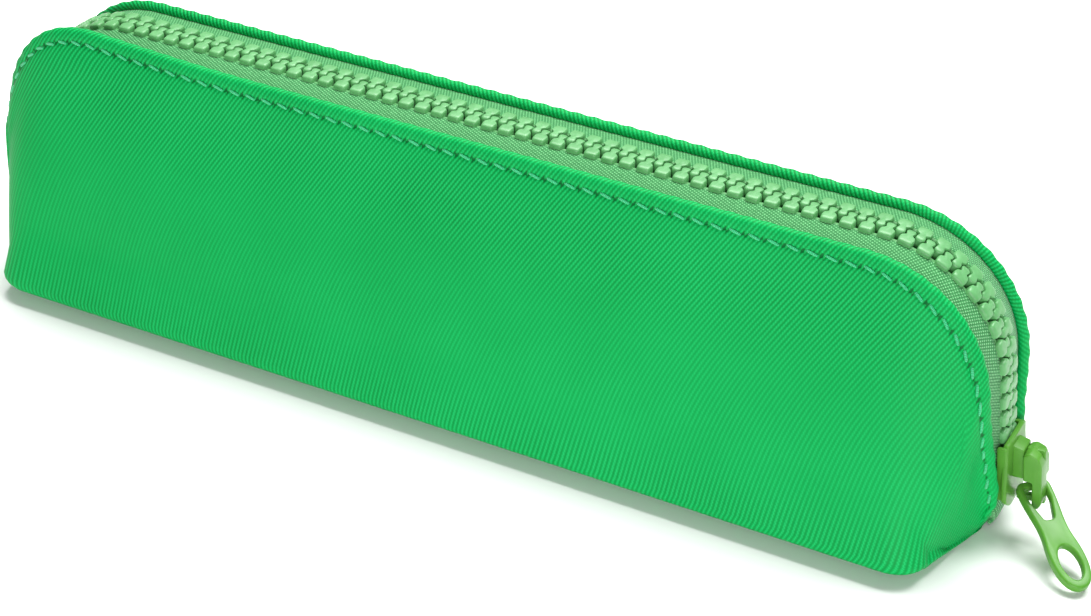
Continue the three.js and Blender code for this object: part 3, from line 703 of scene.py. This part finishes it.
def panel(name, node, side):
    """One panel's cloth, a closed ring of rows at each station, and the rows that its lining follows."""
    wall = Wall(side)
    folded, folded_flat = fold(wall)
    edge, inner_edge, edge_flat = base_edge(wall)
    wall.meet_edge(edge[0], edge_flat[0])
    base, base_flat = base_rows(wall, edge[-1], edge_flat[-1])
    below = wall.below_hem()
    wall_rows = list(wall.outer.swapaxes(0, 1))
    wall_flat = list(wall.flat.swapaxes(0, 1))
    inner = raised(base, CLOTH)[::-1] + inner_edge[::-1] + [wall.inside(k, CLOTH) for k in below[::3]]
    inner_flat = base_flat[::-1] + edge_flat[::-1] + [wall.flat[:, k] for k in below[::3]]
    points = np.stack(folded[::-1] + wall_rows + edge + base + inner, 1)
    flats = np.stack(folded_flat[::-1] + wall_flat + edge_flat + base_flat + inner_flat, 1)
    points = on_side(points, side)
    # Painted shade: a mask at each needle hole of the stitching, which darkens the cloth's colour there.
    wear_and_hole_shade = np.zeros_like(points)
    needle_hole_shade = wall.near(STITCH_DEPTH, 0.4) * np.maximum(0, wall.holes) ** 6
    wear_and_hole_shade[:, len(folded):len(folded) + len(wall_rows), 0] = needle_hole_shade
    obj = make_object(
        name, points.reshape(-1, 3), loft_faces(len(points), points.shape[1]), TWILL,
        layers={"weave": weave_layer(flats).reshape(-1, 3), "wear_and_hole_shade": wear_and_hole_shade.reshape(-1, 3)},
    )
    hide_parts(node)
    lining_rows = [wall.inside(k, LINING_GAP) for k in below[::-2]]
    lining_rows += [r - (r - e) * (LINING_GAP / CLOTH) for r, e in zip(edge[::2], inner_edge[::2])]
    return wall, lining_rows + raised(base, LINING_GAP)


def lining(name, node, side, rows):
    """A thin second cloth lying inside the panel."""
    outside = np.stack(rows, 1)
    facing = unit(np.cross(np.gradient(outside, axis=0), np.gradient(outside, axis=1)))
    facing *= np.sign(dots(facing, np.array(POUCH_MIDDLE) - outside))[..., None]
    inside = outside + facing * LINING_CLOTH
    points = on_side(np.concatenate([outside, inside[:, ::-1]], 1), side)
    obj = make_object(name, points.reshape(-1, 3), loft_faces(len(points), points.shape[1]), LINING)
    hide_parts(node)


# ---- Topstitching ----------------------------------------------------------------------------------
THREAD_RADIUS, THREAD_SIDES, THREAD_SPINE = 0.3, 8, 9
THREAD_ARCH, THREAD_SUNK, THREAD_SLANT, THREAD_TWIST = 0.34, 0.14, 0.3, 0.32
STITCH_END_MARGIN = 6.0


def topstitch(name, node, wall):
    """Each stitch is an arched thread whose ends dive into the cloth."""
    at = np.interp(STITCH_DEPTH, wall.scaled[0], np.arange(wall.scaled.shape[1]))
    low = int(at)
    line = lerp(wall.outer[:, low], wall.outer[:, low + 1], at - low)
    normal = wall.normals[:, low]
    tangent = unit(np.gradient(line, axis=0))
    across = unit(np.cross(normal, tangent))

    def sample(grid, s):
        return np.array([np.interp(s, wall.along, grid[:, c]) for c in range(3)])

    reach = wall.along[-1] - STITCH_END_MARGIN
    first = math.ceil(-reach / STITCH_PITCH - 0.5)
    last = math.floor(reach / STITCH_PITCH - 0.5)
    verts, faces, weave = [], [], []
    for number in range(first, last + 1):
        start = len(verts)
        for u in np.linspace(-1, 1, THREAD_SPINE):
            s = (number + 0.5) * STITCH_PITCH + u * STITCH_LENGTH / 2
            n, a = unit(sample(normal, s)), unit(sample(across, s))
            height = THREAD_ARCH * (1 - abs(u) ** 3) - THREAD_SUNK
            centre = sample(line, s) + n * height + a * (THREAD_SLANT * u * wall.side)
            thick = THREAD_RADIUS * (1 - 0.35 * abs(u) ** 4)
            for angle in np.linspace(0, 2 * math.pi, THREAD_SIDES, endpoint=False):
                verts.append(centre + thick * (math.cos(angle) * a + math.sin(angle) * 0.85 * n))
                weave.append((s / THREAD_TWIST + angle / (2 * math.pi), 0.0, 0.0))
        faces += shifted(loft_faces(THREAD_SPINE, THREAD_SIDES), start)
    obj = make_object(name, on_side(np.array(verts), wall.side), faces, THREAD, layers={"weave": weave})
    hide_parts(node)


# ---- Zip ---------------------------------------------------------------------------------------------
TAPE_TOP, TAPE_LOW, TAPE_THICK, BEAD_HEIGHT, THREADS_APART = 0.55, -0.05, 0.45, 0.28, 0.62
TAPE_ROWS = [2.2, 2.7, 3.3, 3.9, 5.0, 6.2, 7.4, 8.4]
TAPE_STEP, TAPE_END_WIDTH = 0.7, 0.5
# The teeth hold the tape up to TOOTH_BODY from the middle. A layer of a tooth has a height and a
# share of the outline.
TOOTH_BODY, TOOTH_CENTRE, HALF_TOOTH = 4.0, 1.3, 0.75
TOOTH_LAYERS = [
    (-1.45, 0.80), (-1.32, 0.93), (-1.1, 1.0), (1.25, 1.0), (1.55, 0.955), (1.72, 0.86), (1.78, 0.6),
]
CORD_PLACE, CORD_WIDTH, CORD_HEIGHT, CORD_STEP, CORD_SIDES = 2.75, 0.55, 0.75, 1.2, 8


def tape_ring(distance, side, half):
    """One ring of a tape, over its top and back below, which narrows at the foot of each end."""
    origin, normal = zip_frame(distance)
    near_end = smooth(ZIP_HALF - 30, ZIP_HALF - 12, abs(distance))
    foot = smooth(ZIP_HALF - 3.5, half, abs(distance))
    wide = lerp(lerp(1.0, 0.97, near_end), TAPE_END_WIDTH, foot)
    ring, weave = [], []
    for sunk, rows in ((0.0, TAPE_ROWS), (TAPE_THICK, TAPE_ROWS[::-1])):
        for t in rows:
            bead = BEAD_HEIGHT * math.exp(-(((t - 3.5) / 0.5) ** 2))
            lift = lerp(TAPE_TOP, TAPE_LOW, smooth(4.0, 8.0, t)) + bead - sunk
            across = t * wide if t > TOOTH_BODY else lerp(t, t * TAPE_END_WIDTH, foot)
            ring.append(origin + normal * lift + np.array([0.0, side * across, 0.0]))
            weave.append((distance / THREADS_APART, t / THREADS_APART, 0.0))
    return ring, weave


def tape(name, node, side):
    half = ZIP_HALF + ZIP_LEGS[3][0] * 0.55
    points, weave = [], []
    for distance in np.linspace(-half, half, int(2 * half / TAPE_STEP)):
        ring, ring_weave = tape_ring(distance, side, half)
        points += ring
        weave += ring_weave
    ring = 2 * len(TAPE_ROWS)
    obj = make_object(name, points, loft_faces(len(points) // ring, ring), TAPE, layers={"weave": weave})
    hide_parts(node)


def tooth_outline():
    """Outline of a moulded tooth, (across, along) the zip, from its outer edge to its tip and back."""
    half = [
        (3.50, 0.00), (3.50, 0.80), (3.42, 1.12), (3.15, 1.30), (2.40, 1.40), (1.75, 1.42),
        (1.38, 1.28), (1.12, 0.92), (0.85, 0.66), (0.45, 0.66), (0.10, 0.80), (-0.25, 0.88),
        (-0.60, 0.84), (-0.86, 0.62), (-0.96, 0.30), (-0.98, 0.00),
    ]
    return half + [(t, -s) for t, s in half[-2:0:-1]]


def tooth(middle, side):
    """Points of one tooth, layer by layer from its underside to its crowned top."""
    points = []
    for height, share in TOOTH_LAYERS:
        for t, s in tooth_outline():
            origin, normal = zip_frame(middle + s * share)
            across = TOOTH_CENTRE + (t - TOOTH_CENTRE) * share
            points.append(origin + normal * height + np.array([0.0, side * across, 0.0]))
    return points


def cord_ring(distance, side):
    """One ring of the cord that a row of teeth is moulded on."""
    origin, normal = zip_frame(distance)
    ring = []
    for angle in np.linspace(0, 2 * math.pi, CORD_SIDES, endpoint=False):
        across = CORD_PLACE + CORD_WIDTH * math.cos(angle)
        height = 0.1 + CORD_HEIGHT * math.sin(angle)
        ring.append(origin + normal * height + np.array([0.0, side * across, 0.0]))
    return ring


def teeth(name, node, side, first, count):
    """A row of teeth, the first at a distance along the zip, with the cord between them."""
    verts, faces = [], []
    for number in range(count):
        faces += shifted(loft_faces(len(TOOTH_LAYERS), len(tooth_outline())), len(verts))
        verts += tooth(first + number * TOOTH_PITCH, side)
    start, end = first - CORD_STEP, first + (count - 1) * TOOTH_PITCH + CORD_STEP
    stops = np.linspace(start, end, max(3, int((end - start) / CORD_STEP)))
    faces += shifted(loft_faces(len(stops), CORD_SIDES), len(verts))
    for distance in stops:
        verts += cord_ring(distance, side)
    obj = make_object(name, verts, faces, TEETH, smooth_angle=38)
    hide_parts(node)
    return obj


def zip_teeth():
    """Each side's fixed teeth, then the stretch of teeth that the slider parts."""
    sliding_top = ZIP_HALF - (SLIDER_HEIGHT + SLIDER_HALF_LENGTH + SLIDER_TRAVEL - ZIP_STRAIGHT_BOTTOM)
    sliding_bottom = ZIP_HALF - (SLIDER_HEIGHT - SLIDER_HALF_LENGTH + 3 - ZIP_STRAIGHT_BOTTOM)
    sliding_count = int((sliding_bottom - sliding_top) / TOOTH_PITCH)
    fixed_count = int((ZIP_HALF + sliding_top - 9) / TOOTH_PITCH)
    for word, side in SIDES:
        shift = 0.0 if side < 0 else TOOTH_PITCH / 2
        split = sliding_top + shift - TOOTH_PITCH / 2 + HALF_TOOTH
        teeth(f"{word}_teeth_row", f"{word}_teeth", side, split - fixed_count * TOOTH_PITCH, fixed_count)
        moving = teeth(f"{word}_teeth_parting", f"{word}_sliding_teeth", side, split, sliding_count)
        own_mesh(moving)


def zip_stop(node):
    """A stop with the CAD node's shape and softened edges, as moulded."""
    bm = bmesh.new()
    bm.from_mesh(frame["nodes"][node].data)
    bmesh.ops.remove_doubles(bm, verts=bm.verts, dist=1e-6)
    bmesh.ops.dissolve_limit(bm, angle_limit=math.radians(1.5), verts=bm.verts, edges=bm.edges)
    sharp = [e for e in bm.edges if len(e.link_faces) == 2 and e.calc_face_angle(0) > math.radians(28)]
    bmesh.ops.bevel(
        bm, geom=sharp, offset=0.35 * MM, offset_type="OFFSET", segments=3, profile=0.6,
        affect="EDGES", clamp_overlap=True,
    )
    obj = object_from(bm, node + "_moulded", TEETH, 50)
    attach(obj, "pouch")
    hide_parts(node)


def end_fold(word, side):
    """The tapes' ends turned over and sewn down at the foot of one end, a rounded lumpy strip."""
    stations = np.linspace(ZIP_HALF - 1.5, ZIP_HALF + ZIP_LEGS[3][0] * 0.98, 14)
    around = 20
    points, weave = [], []
    for i, distance in enumerate(stations):
        origin, normal = zip_frame(side * distance)
        u = i / (len(stations) - 1)
        half = lerp(5.2, 3.6, smooth(0.1, 0.9, u))
        for angle in np.linspace(0, 2 * math.pi, around, endpoint=False):
            c, s = math.cos(angle), math.sin(angle)
            t = half * math.copysign(abs(c) ** 0.6, c)
            lump = 1 + 0.25 * math.sin(5.0 * u + 2.0 * c)
            lift = 0.75 * lump * math.copysign(abs(s) ** 0.7, s) + 0.1
            points.append(origin + normal * lift + np.array([0.0, t, 0.0]))
            weave.append((distance / THREADS_APART, t / THREADS_APART, 0.0))
    points = np.array(points)
    points[:, 2] = np.maximum(points[:, 2], 0.25)
    faces = loft_faces(len(stations), around)
    obj = make_object(f"{word}_tape_end", points, faces, TAPE, layers={"weave": weave})
    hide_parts(f"{word}_zip_end_fold")


# ---- Slider and pull ---------------------------------------------------------------------------------
PULL_LENGTH, PULL_THICKNESS, PULL_EDGE, PULL_TOP_HALF, BAR = 22.3, 1.8, 0.42, 3.3, 0.7
SLOT_TOP_HALF, SLOT_END, SLOT_END_HALF, SLOT_SHOULDER = 2.15, 7.7, 0.95, 3.4
NECK, NECK_HALF = 9.5, 2.75
RING, RING_HALF, HOLE_HALF, HOLE_HALF_LENGTH, HOLE_POINTS = 16.9, 3.4, 1.95, 3.6, 48


def bezier(p0, p1, p2, p3, count=10):
    """Points of a cubic curve from p0, without its last point."""
    t = np.linspace(0, 1, count, endpoint=False)[:, None]
    p0, p1, p2, p3 = (np.array(p, float) for p in (p0, p1, p2, p3))
    return (1 - t) ** 3 * p0 + 3 * (1 - t) ** 2 * t * p1 + 3 * (1 - t) * t**2 * p2 + t**3 * p3


def pull_outlines():
    """The pull's outer edge, its slot and its oval hole; x runs down the pull from its pivot."""
    top, neck, ring = -PULL_TOP_HALF, -NECK_HALF, -RING_HALF
    ring_start = RING - 0.8
    ring_bulge = RING + (PULL_LENGTH - RING) * 0.6
    lower = np.concatenate([
        bezier((-BAR, top + 1.3), (-BAR, top + 0.4), (0.0, top), (1.2, top)),
        bezier((1.2, top), (5, top), (7, neck), (NECK, neck)),
        bezier((NECK, neck), (12, neck), (13, ring), (ring_start, ring)),
        bezier((ring_start, ring), (ring_bulge, ring), (PULL_LENGTH, ring * 0.6), (PULL_LENGTH, 0)),
    ])
    upper = (lower * np.array([1, -1]))[::-1]
    outer = np.concatenate([lower, [[PULL_LENGTH, 0.0]], upper])
    angles = np.linspace(0, 2 * math.pi, HOLE_POINTS, endpoint=False)
    hole = np.stack([RING + HOLE_HALF_LENGTH * np.cos(angles), HOLE_HALF * np.sin(angles)], 1)
    half_slot = [(BAR * 0.9, -SLOT_TOP_HALF), (SLOT_SHOULDER, -SLOT_TOP_HALF), (SLOT_END, -SLOT_END_HALF)]
    slot = rounded_polygon(half_slot + [(x, -y) for x, y in half_slot[::-1]], 0.55)
    return outer, slot, hole


def rounded_polygon(corners, radius, count=5):
    out = []
    for i, corner in enumerate(corners):
        before, after = np.array(corners[i - 1]), np.array(corners[(i + 1) % len(corners)])
        corner = np.array(corner)
        a = corner + unit(before - corner) * radius
        b = corner + unit(after - corner) * radius
        for t in np.linspace(0, 1, count):
            out.append((1 - t) ** 2 * a + 2 * (1 - t) * t * corner + t**2 * b)
    return np.array(out)


def casting(outlines, thickness, bevel, place):
    """Mesh of a plate with softened edges, from flat outlines in mm, holes included, moved to place."""
    curve = bpy.data.curves.new("outline", "CURVE")
    curve.dimensions = "2D"
    curve.fill_mode = "BOTH"
    curve.bevel_depth = bevel * MM
    curve.bevel_resolution = 3
    curve.extrude = (thickness / 2 - bevel) * MM
    curve.offset = -bevel * MM
    for outline in outlines:
        spline = curve.splines.new("POLY")
        spline.points.add(len(outline) - 1)
        for point, (x, y) in zip(spline.points, outline):
            point.co = (x * MM, y * MM, 0.0, 1.0)
        spline.use_cyclic_u = True
    holder = bpy.data.objects.new("outline", curve)
    bpy.context.scene.collection.objects.link(holder)
    bpy.context.view_layer.update()
    mesh = bpy.data.meshes.new_from_object(holder)
    bpy.data.objects.remove(holder)
    mesh.transform(place)
    return mesh


def cast_piece(name, node, body, meshes):
    """One object from several cast shapes."""
    bm = bmesh.new()
    for part in meshes:
        bm.from_mesh(part)
    bmesh.ops.remove_doubles(bm, verts=bm.verts, dist=1e-7)
    bmesh.ops.recalc_face_normals(bm, faces=bm.faces)
    obj = object_from(bm, name, ENAMEL, 40)
    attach(obj, body)
    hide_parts(node)


def basis(x_axis, y_axis, z_axis, origin):
    place = Matrix((x_axis, y_axis, z_axis)).transposed().to_4x4()
    place.translation = Vector(origin)
    return place


def pull():
    """A cast plate with a slot for the bridge and an oval hole."""
    crossbar = Vector((math.sin(PULL_YAW), math.cos(PULL_YAW), 0.0))
    out = Vector((math.cos(PULL_YAW), -math.sin(PULL_YAW), 0.0))
    along = out * math.sin(PULL_SWING) + Vector((0, 0, -math.cos(PULL_SWING)))
    joint = next(j for j in frame["joints"] if j["name"] == "pull_swing")
    place = basis(along, crossbar, along.cross(crossbar), joint["pos_m"])
    cast = casting(pull_outlines(), PULL_THICKNESS, PULL_EDGE, place)
    cast_piece("pull_casting", "pull_tab", "pull", [cast])


# Slider shapes in the slider's frame: x up the zip, y across it, z out of it. The plates and the
# diamond are drawn in x and y, and the others in x and z.
PLATE = [
    (-7, 3.4), (-4.8, 5.8), (-0.5, 5.8), (7, 4.7), (7, -4.7), (-0.5, -5.8), (-4.8, -5.8), (-7, -3.4),
]
DIAMOND = [(-6.6, 0), (-5.4, 1.3), (-4.4, 0), (-5.4, -1.3)]
RISER = [(-1.3, 1.0), (5.6, 1.0), (4.9, 3.3), (-1.3, 3.3)]
FLANGE = [(-4.8, -0.75), (6.6, -0.75), (6.6, 1.2), (-4.8, 1.2)]
INNER_FLANGE = [(-4.8, -3.6), (6.6, -3.6), (6.6, -2.4), (-4.8, -2.4)]
ARCH = [
    (-6.9, 1.5), (-5.5, 1.5), (-5.5, 5.9), (-1.3, 5.9), (-1.3, 3.35), (4.8, 3.35), (4.8, 6.9), (-6.9, 6.9),
]
HEAD = [(-1.2, 3.3), (4.4, 3.3), (5.0, 4.6), (4.2, 6.3), (2.6, 6.85), (-1.2, 6.85)]
CROWN = [
    (-6.9, 5.1), (-1.2, 5.1), (-1.2, 3.4), (4.3, 3.4), (5.1, 4.6), (4.3, 6.3), (2.6, 6.95),
    (-5.6, 6.95), (-6.9, 6.2),
]
OUTER_PLATE_LEVEL, OUTER_PLATE_THICKNESS = 0.775, 1.05
INNER_PLATE_LEVEL, INNER_PLATE_THICKNESS = -4.1, 1.2
DIAMOND_LEVEL, DIAMOND_THICKNESS = -1.65, 3.9
FLANGE_OFFSET, FLANGE_THICKNESS = 4.85, 0.9


class SliderFrame:
    """Places in the slider's frame for shapes drawn flat."""

    def __init__(self):
        x, z, _ = walk((0.0, HEIGHT), CREST_LEGS, 2.5)
        self.origin = Vector((x + (z - SLIDER_HEIGHT) * math.tan(END_LEAN), 0.0, SLIDER_HEIGHT))
        self.rise = Vector((-math.sin(END_LEAN), 0.0, math.cos(END_LEAN)))
        self.out = Vector((math.cos(END_LEAN), 0.0, math.sin(END_LEAN)))
        self.across = Vector((0.0, -1.0, 0.0))

    def level(self, height):
        """For an outline in x and y, at a height out of the zip."""
        return basis(self.rise, self.across, self.out, (self.origin + self.out * height) * MM)

    def side_on(self, offset):
        """For an outline in x and z, at an offset across the zip, towards the front."""
        return basis(self.rise, self.out, -self.across, (self.origin + self.across * offset) * MM)


def slider_body(place):
    plate = rounded_polygon(PLATE, 0.9)
    parts = [
        casting([plate], OUTER_PLATE_THICKNESS, 0.3, place.level(OUTER_PLATE_LEVEL)),
        casting([plate], INNER_PLATE_THICKNESS, 0.3, place.level(INNER_PLATE_LEVEL)),
        casting([DIAMOND], DIAMOND_THICKNESS, 0.2, place.level(DIAMOND_LEVEL)),
        casting([rounded_polygon(RISER, 0.3)], 4.0, 0.2, place.side_on(0)),
    ]
    for offset in (-FLANGE_OFFSET, FLANGE_OFFSET):
        for flange in (FLANGE, INNER_FLANGE):
            outline = rounded_polygon(flange, 0.4)
            parts.append(casting([outline], FLANGE_THICKNESS, 0.25, place.side_on(offset)))
    cast_piece("slider_casting", "slider_body", "slider", parts)


def slider_cap(place):
    """The bridge that the pull hangs from, with its hood, which leaves room for the pull's legs."""
    parts = [
        casting([rounded_polygon(ARCH, 0.4)], 1.2, 0.25, place.side_on(0.1)),
        casting([rounded_polygon(CROWN, 0.5)], 3.3, 0.35, place.side_on(1.35)),
        casting([rounded_polygon(HEAD, 0.45)], 3.6, 0.3, place.side_on(-0.2)),
    ]
    cast_piece("slider_cap_casting", "slider_cap", "slider", parts)


def carried_over():
    """CAD nodes that keep their shape get their own finishes."""
    finishes = {
        "base_seam_binding": BINDING,
        "right_gusset_binding": BINDING, "left_gusset_binding": BINDING, "lock_pawl": ENAMEL,
    }
    for node, material in finishes.items():
        obj = frame["nodes"][node]
        obj.data.materials.clear()
        obj.data.materials.append(material)


# ---- Studio ------------------------------------------------------------------------------------------
# Angles in degrees, the camera's distance and target in mm, lens and sensor in mm.
CAMERA = {
    "azimuth": 27.965, "elevation": 33.924, "roll": 0.198, "distance": 489.08,
    "target": (13.151, 0.0, 16.579), "lens": 81.87, "sensor": 36.0,
}
FLOOR_SIZE, WORLD_LIGHT = 8.0, 0.24
OVERHEAD = {"place": (0.0, 0.5, 1.12), "target": (0.0, 0.0, 0.02), "size": (1.2, 0.6), "power": 30.5}
FRONT_LIGHT = {"place": (0.5, -1.2, 0.36), "target": (0.03, 0.0, 0.03), "size": (1.0, 0.4), "power": 12.6}


def camera():
    """Looks back along its own direction at the target, turned a little about that direction."""
    az, el, roll = (math.radians(CAMERA[k]) for k in ("azimuth", "elevation", "roll"))
    back = Vector((math.sin(az) * math.cos(el), -math.cos(az) * math.cos(el), math.sin(el)))
    level = Vector((math.cos(az), math.sin(az), 0.0))
    rise = back.cross(level)
    right = level * math.cos(roll) + rise * math.sin(roll)
    up = rise * math.cos(roll) - level * math.sin(roll)
    data = bpy.data.cameras.new("camera")
    data.lens = CAMERA["lens"]
    data.sensor_width = CAMERA["sensor"]
    data.sensor_fit = "HORIZONTAL"
    obj = bpy.data.objects.new("camera", data)
    matrix = Matrix((right, up, back)).transposed().to_4x4()
    matrix.translation = (Vector(CAMERA["target"]) + back * CAMERA["distance"]) * MM
    obj.matrix_world = matrix
    bpy.context.scene.collection.objects.link(obj)
    bpy.context.scene.camera = obj


def area_light(name, place, target, size, power):
    """A rectangular light; size in metres and power in watts."""
    data = bpy.data.lights.new(name, "AREA")
    data.shape = "RECTANGLE"
    data.size, data.size_y = size
    data.energy = power
    obj = bpy.data.objects.new(name, data)
    obj.location = place
    aim = Vector(target) - Vector(place)
    obj.rotation_euler = aim.to_track_quat("-Z", "Y").to_euler()
    bpy.context.scene.collection.objects.link(obj)


def studio():
    """A white floor, one large light above and behind, and a long low one in front."""
    bpy.ops.mesh.primitive_plane_add(size=FLOOR_SIZE, location=(0, 0, 0))
    floor = bpy.context.object
    floor.name = "studio_floor"
    floor.data.materials.append(floor_material())
    world = bpy.data.worlds.new("studio")
    bpy.context.scene.world = world
    world.use_nodes = True
    background = world.node_tree.nodes["Background"]
    background.inputs["Color"].default_value = (1, 1, 1, 1)
    background.inputs["Strength"].default_value = WORLD_LIGHT
    area_light("overhead", **OVERHEAD)
    area_light("front", **FRONT_LIGHT)
    bpy.context.scene.view_settings.view_transform = "Standard"


camera()
studio()
for word, side in SIDES:
    wall, lining_rows = panel(f"{word}_shell", f"{word}_panel", side)
    topstitch(f"{word}_stitches", f"{word}_topstitch", wall)
    lining(f"{word}_lining_cloth", f"{word}_lining", side, lining_rows)
    tape(f"{word}_tape", f"{word}_zip_tape", side)
zip_teeth()
for stop in ("front_top_stop", "back_top_stop", "bottom_stop"):
    zip_stop(stop)
end_fold("right", 1)
end_fold("left", -1)
slider_body(SliderFrame())
slider_cap(SliderFrame())
pull()
carried_over()

bpy.context.view_layer.update()
